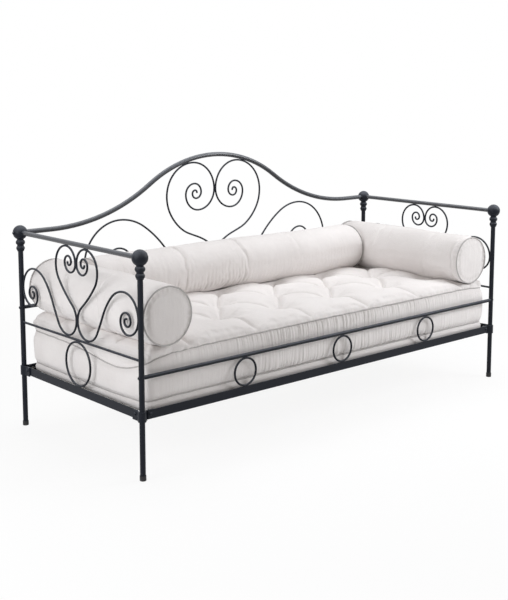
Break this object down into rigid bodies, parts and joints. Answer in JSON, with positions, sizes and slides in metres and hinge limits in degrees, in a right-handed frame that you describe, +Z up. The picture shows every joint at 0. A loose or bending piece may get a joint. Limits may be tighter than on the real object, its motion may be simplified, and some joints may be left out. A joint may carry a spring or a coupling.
{
  "type": "daybed",
  "caption": "Metal daybed with an arched scrollwork back, scrolled ends, a tufted mattress on slats and loose bolster cushions.",
  "frame": {"origin": "middle of the footprint, on the floor that the four feet stand on", "axes": "+X along the bed towards its right end as seen from the open front, +Y from the open front to the arched back, +Z up"},
  "size_m": [2.025, 0.857, 1.0448],
  "materials": {
    "iron": "satin powder coat",
    "foot_cap": "matte",
    "zinc_steel": "zinc plated",
    "slat_wood": "sanded",
    "cotton": "woven, matte"
  },
  "bodies": {
    "frame": {"post_front_left": "iron", "post_front_right": "iron", "post_back_left": "iron", "post_back_right": "iron", "foot_front_left": "foot_cap", "foot_front_right": "foot_cap", "foot_back_left": "foot_cap", "foot_back_right": "foot_cap", "finial_front_left": "iron", "finial_front_right": "iron", "finial_back_left": "iron", "finial_back_right": "iron", "end_top_rail_left": "iron", "end_top_rail_right": "iron", "end_mid_rail_left": "iron", "end_mid_rail_right": "iron", "end_base_rail_left": "iron", "end_base_rail_right": "iron", "end_ring_left": "iron", "end_ring_right": "iron", "end_scroll_left_front": "iron", "end_scroll_left_back": "iron", "end_scroll_right_front": "iron", "end_scroll_right_back": "iron", "back_arch_rail": "iron", "back_lower_rail": "iron", "back_scroll_left": "iron", "back_scroll_right": "iron", "back_base_rail": "iron", "front_guard_rail": "iron", "front_base_rail": "iron", "front_ring_left": "iron", "front_ring_middle": "iron", "front_ring_right": "iron", "clamp_front_left": "iron", "clamp_front_right": "iron", "clamp_back_left": "iron", "clamp_back_right": "iron", "clamp_bolts": "iron", "clamp_nuts": "zinc_steel", "guard_rail_bolts": "iron", "back_rail_bolts": "iron", "arch_rail_bolts": "iron", "slat_screws": "zinc_steel", "slat_01": "slat_wood", "slat_02": "slat_wood", "slat_03": "slat_wood", "slat_04": "slat_wood", "slat_05": "slat_wood", "slat_06": "slat_wood", "slat_07": "slat_wood", "slat_08": "slat_wood", "slat_09": "slat_wood", "slat_10": "slat_wood", "slat_11": "slat_wood", "slat_12": "slat_wood"},
    "mattress": {"mattress": "cotton"},
    "bolster_left": {"bolster_left": "cotton"},
    "bolster_right": {"bolster_right": "cotton"},
    "bolster_back": {"bolster_back": "cotton"}
  },
  "joints": [
    {"name": "mattress_lift", "type": "slide", "parent": "frame", "child": "mattress", "axis": [0, 0, 1], "range_m": [0, 0.6]},
    {"name": "bolster_left_lift", "type": "slide", "parent": "mattress", "child": "bolster_left", "axis": [0, 0, 1], "range_m": [0, 0.4]},
    {"name": "bolster_right_lift", "type": "slide", "parent": "mattress", "child": "bolster_right", "axis": [0, 0, 1], "range_m": [0, 0.4]},
    {"name": "bolster_back_lift", "type": "slide", "parent": "mattress", "child": "bolster_back", "axis": [0, 0, 1], "range_m": [0, 0.4]}
  ]
}
